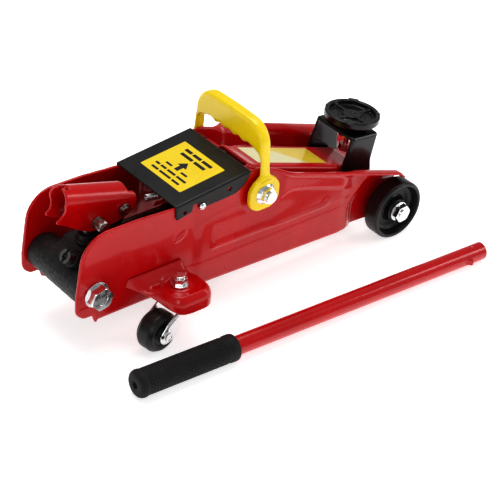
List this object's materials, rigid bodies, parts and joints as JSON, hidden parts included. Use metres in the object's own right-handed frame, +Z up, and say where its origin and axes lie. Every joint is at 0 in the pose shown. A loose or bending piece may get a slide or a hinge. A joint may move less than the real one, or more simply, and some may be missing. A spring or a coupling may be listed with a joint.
{
  "type": "hydraulic floor jack",
  "caption": "Low wheeled hydraulic trolley jack with a hinged lifting arm, levelled cup saddle, swivel casters, carrying bail and a loose pump handle lying beside it.",
  "frame": {"origin": "on the floor, under the middle of the footprint of the jack and its loose handle", "axes": "+X from the rear casters to the front wheels, +Y towards the left side plate, +Z up"},
  "size_m": [0.4448, 0.2459, 0.1874],
  "materials": {
    "red_paint": "gloss",
    "black_paint": "satin",
    "black_cast": "matte",
    "zinc": "satin",
    "chrome": "polished",
    "yellow_plastic": "gloss",
    "black_plastic": "satin",
    "rubber": "matte",
    "label_yellow": "gloss",
    "label_arm": "gloss"
  },
  "bodies": {
    "chassis": {"side_plate_right": "red_paint", "side_plate_left": "red_paint", "cover_plate": "black_paint", "cover_screws": "zinc", "cover_label": "label_yellow", "power_unit_casting": "black_cast", "pump_barrel": "black_cast", "reservoir_tube": "black_paint", "pressure_cylinder": "black_cast", "gland_nut": "black_cast", "filler_plug": "black_plastic", "release_valve_boss": "black_cast", "rear_bolts": "zinc", "rear_washers": "zinc", "socket_pivot_pin": "zinc", "socket_pin_clips": "zinc", "socket_return_spring": "zinc", "arm_pivot_shaft": "zinc", "pivot_spacers": "zinc", "link_anchor_plates": "red_paint", "link_rear_pin": "zinc", "front_axle": "zinc", "axle_washers": "zinc", "axle_nuts": "zinc", "caster_shelf_right": "red_paint", "caster_shelf_left": "red_paint", "carry_handle_nuts": "zinc", "arm_return_springs": "zinc"},
    "front_wheel_right": {"front_wheel_right": "black_plastic"},
    "front_wheel_left": {"front_wheel_left": "black_plastic"},
    "caster_right": {"caster_fork_right": "zinc", "caster_nut_right": "zinc", "caster_axle_right": "zinc"},
    "caster_left": {"caster_fork_left": "zinc", "caster_nut_left": "zinc", "caster_axle_left": "zinc"},
    "caster_wheel_right": {"caster_wheel_right": "black_plastic"},
    "caster_wheel_left": {"caster_wheel_left": "black_plastic"},
    "lift_arm": {"lift_arm": "red_paint", "arm_label": "label_arm", "arm_push_pin": "zinc"},
    "saddle_bracket": {"saddle_bracket": "black_paint", "yoke_pin": "zinc", "link_front_pin": "zinc"},
    "saddle": {"saddle": "black_paint", "saddle_bolt": "chrome"},
    "levelling_link": {"levelling_link": "black_paint"},
    "ram": {"ram": "chrome", "ram_head": "black_paint"},
    "handle_socket": {"handle_socket": "black_cast", "plunger_pin": "zinc", "plunger_pin_nut": "zinc"},
    "pump_plunger": {"pump_plunger": "chrome"},
    "release_valve": {"release_valve": "zinc"},
    "carry_handle": {"carry_handle": "yellow_plastic"},
    "pump_handle": {"handle_grip": "rubber", "handle_tube": "red_paint", "handle_lug": "red_paint"}
  },
  "joints": [
    {"name": "front_wheel_right_spin", "type": "hinge", "parent": "chassis", "child": "front_wheel_right", "pos_m": [0.1739, -0.0206, 0.0325], "axis": [0, 1, 0], "continuous": true},
    {"name": "front_wheel_left_spin", "type": "hinge", "parent": "chassis", "child": "front_wheel_left", "pos_m": [0.1739, 0.0794, 0.0325], "axis": [0, 1, 0], "continuous": true},
    {"name": "caster_right_swivel", "type": "hinge", "parent": "chassis", "child": "caster_right", "pos_m": [-0.1201, -0.0386, 0.06], "axis": [0, 0, 1], "range_deg": [-25, 40]},
    {"name": "caster_left_swivel", "type": "hinge", "parent": "chassis", "child": "caster_left", "pos_m": [-0.1201, 0.0974, 0.06], "axis": [0, 0, 1], "range_deg": [-172, 20]},
    {"name": "caster_wheel_right_spin", "type": "hinge", "parent": "caster_right", "child": "caster_wheel_right", "pos_m": [-0.14776, -0.04298, 0.0205], "axis": [-0.1564, 0.9877, 0], "continuous": true},
    {"name": "caster_wheel_left_spin", "type": "hinge", "parent": "caster_left", "child": "caster_wheel_left", "pos_m": [-0.14803, 0.09935, 0.0205], "axis": [0.0698, 0.9976, 0], "continuous": true},
    {"name": "arm_lift", "type": "hinge", "parent": "chassis", "child": "lift_arm", "pos_m": [-0.0101, 0.0294, 0.115], "axis": [0, -1, 0], "range_deg": [0, 68], "deforming": ["arm_return_springs"]},
    {"name": "saddle_bracket_level", "type": "hinge", "parent": "lift_arm", "child": "saddle_bracket", "pos_m": [0.1419, 0.0294, 0.066], "axis": [0, -1, 0], "range_deg": [-68, 0]},
    {"name": "levelling_link_swing", "type": "hinge", "parent": "chassis", "child": "levelling_link", "pos_m": [-0.0021, 0.0294, 0.087], "axis": [0, -1, 0], "range_deg": [0, 68]},
    {"name": "ram_extend", "type": "slide", "parent": "chassis", "child": "ram", "axis": [1, 0, 0], "range_m": [0, 0.0571]},
    {"name": "saddle_swivel", "type": "hinge", "parent": "saddle_bracket", "child": "saddle", "pos_m": [0.1494, 0.0294, 0.11589], "axis": [0.0962, 0, 0.9954], "continuous": true},
    {"name": "socket_pump", "type": "hinge", "parent": "chassis", "child": "handle_socket", "pos_m": [-0.1481, 0.0294, 0.124], "axis": [0, 1, 0], "range_deg": [-10, 32], "deforming": ["socket_return_spring"]},
    {"name": "pump_plunger_stroke", "type": "slide", "parent": "chassis", "child": "pump_plunger", "axis": [0, 0, 1], "range_m": [-0.0053, 0.0168]},
    {"name": "release_valve_turn", "type": "hinge", "parent": "chassis", "child": "release_valve", "pos_m": [-0.1986, 0.0134, 0.0862], "axis": [-0.8211, 0, 0.5708], "range_deg": [0, 270]},
    {"name": "carry_handle_swing", "type": "hinge", "parent": "chassis", "child": "carry_handle", "pos_m": [-0.0101, 0.0294, 0.115], "axis": [0, 1, 0], "range_deg": [-37, 8]},
    {"name": "pump_handle_lift", "type": "slide", "parent": "chassis", "child": "pump_handle", "axis": [0, 0, 1], "range_m": [0, 0.3]}
  ],
  "couplings": [
    {"joint": "saddle_bracket_level", "follows": "arm_lift", "ratio": -1},
    {"joint": "levelling_link_swing", "follows": "arm_lift", "ratio": 1},
    {"joint": "ram_extend", "follows": "arm_lift", "m_per_rad": 0.048},
    {"joint": "pump_plunger_stroke", "follows": "socket_pump", "m_per_rad": 0.03}
  ]
}
